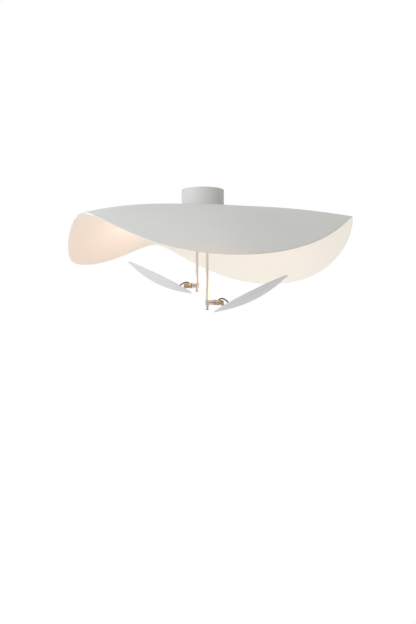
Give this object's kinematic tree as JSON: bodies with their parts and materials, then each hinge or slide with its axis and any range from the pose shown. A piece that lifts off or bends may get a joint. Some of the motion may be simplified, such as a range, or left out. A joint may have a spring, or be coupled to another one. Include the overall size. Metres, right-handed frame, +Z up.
{
  "type": "led ceiling light",
  "caption": "Ceiling light: a large bent sheet shade under a round canopy, lit from below by dished discs on adjustable arms that hang from rods.",
  "frame": {"origin": "middle of the canopy on the ceiling plane, the top face of the ceiling plate", "axes": "+Z up into the ceiling, +X to the right and +Y away from the viewer in the picture; the left arm points to -X and the right arm to +X"},
  "size_m": [0.9718, 0.9566, 0.4323],
  "materials": {
    "canopy_paint": "satin powder coat",
    "sheet_paint": "painted matt white",
    "disc_paint": "painted matt white",
    "plate_steel": "zinc plated",
    "screw_steel": "zinc plated",
    "rod_nickel": "satin nickel",
    "block_nickel": "satin nickel",
    "arm_brass": "turned, satin lacquer",
    "black_screw": "black oxide",
    "black_plastic": "moulded",
    "lead_sheath": "smooth black sheath",
    "gasket_rubber": "cut sheet",
    "driver_case": "moulded",
    "terminal_nylon": "moulded",
    "earth_brass": "turned",
    "spreader_aluminium": "machined",
    "board_white": "white solder mask",
    "diffuser_opal": "opal acrylic",
    "bezel_paint": "painted matt white"
  },
  "bodies": {
    "root": {"ceiling_plate": "plate_steel", "plate_screws": "screw_steel", "standoffs": "plate_steel", "canopy": "canopy_paint", "driver": "driver_case", "driver_screws": "screw_steel", "terminal_block": "terminal_nylon", "terminal_screw": "screw_steel", "earth_stud": "earth_brass", "cable_grommet": "black_plastic", "mains_leads": "lead_sheath", "rod_leads": "lead_sheath", "sheet_gasket": "gasket_rubber", "shade_sheet": "sheet_paint", "clamp_plate": "canopy_paint", "clamp_screws": "screw_steel", "rod_short": "rod_nickel", "rod_long": "rod_nickel", "rod_collars": "rod_nickel", "rod_washers": "screw_steel", "rod_locknuts": "screw_steel", "rod_plugs": "black_plastic"},
    "swivel_left": {"block_left": "block_nickel", "block_screws_left": "black_screw"},
    "roll_left": {"arm_ring_left": "black_plastic", "arm_left": "arm_brass", "tilt_screw_left": "arm_brass", "lead_left": "lead_sheath"},
    "head_left": {"foot_left": "arm_brass", "foot_nuts_left": "screw_steel", "disc_left": "disc_paint", "heat_spreader_left": "spreader_aluminium", "led_board_left": "board_white", "diffuser_left": "diffuser_opal", "bezel_left": "bezel_paint", "bezel_screws_left": "screw_steel", "lead_gland_left": "black_plastic"},
    "swivel_right": {"block_right": "block_nickel", "block_screws_right": "black_screw"},
    "roll_right": {"arm_ring_right": "black_plastic", "arm_right": "arm_brass", "tilt_screw_right": "arm_brass", "lead_right": "lead_sheath"},
    "head_right": {"foot_right": "arm_brass", "foot_nuts_right": "screw_steel", "disc_right": "disc_paint", "heat_spreader_right": "spreader_aluminium", "led_board_right": "board_white", "diffuser_right": "diffuser_opal", "bezel_right": "bezel_paint", "bezel_screws_right": "screw_steel", "lead_gland_right": "black_plastic"}
  },
  "joints": [
    {"name": "swivel_left", "type": "hinge", "parent": "root", "child": "swivel_left", "pos_m": [-0.021, 0.045, -0.336], "axis": [0, 0, -1], "range_deg": [-35, 60]},
    {"name": "roll_left", "type": "hinge", "parent": "swivel_left", "child": "roll_left", "pos_m": [-0.021, 0.045, -0.336], "axis": [-1, 0, 0], "range_deg": [-30, 30]},
    {"name": "tilt_left", "type": "hinge", "parent": "roll_left", "child": "head_left", "pos_m": [-0.061, 0.045, -0.336], "axis": [0, 0.9986, -0.0523], "range_deg": [-26, 30], "deforming": ["lead_left"]},
    {"name": "swivel_right", "type": "hinge", "parent": "root", "child": "swivel_right", "pos_m": [0.016, -0.045, -0.3984], "axis": [0, 0, -1], "range_deg": [-60, 60]},
    {"name": "roll_right", "type": "hinge", "parent": "swivel_right", "child": "roll_right", "pos_m": [0.016, -0.045, -0.3984], "axis": [1, 0, 0], "range_deg": [-30, 30]},
    {"name": "tilt_right", "type": "hinge", "parent": "roll_right", "child": "head_right", "pos_m": [0.066, -0.045, -0.3984], "axis": [0, -0.9976, 0.0698], "range_deg": [-26, 30], "deforming": ["lead_right"]}
  ]
}
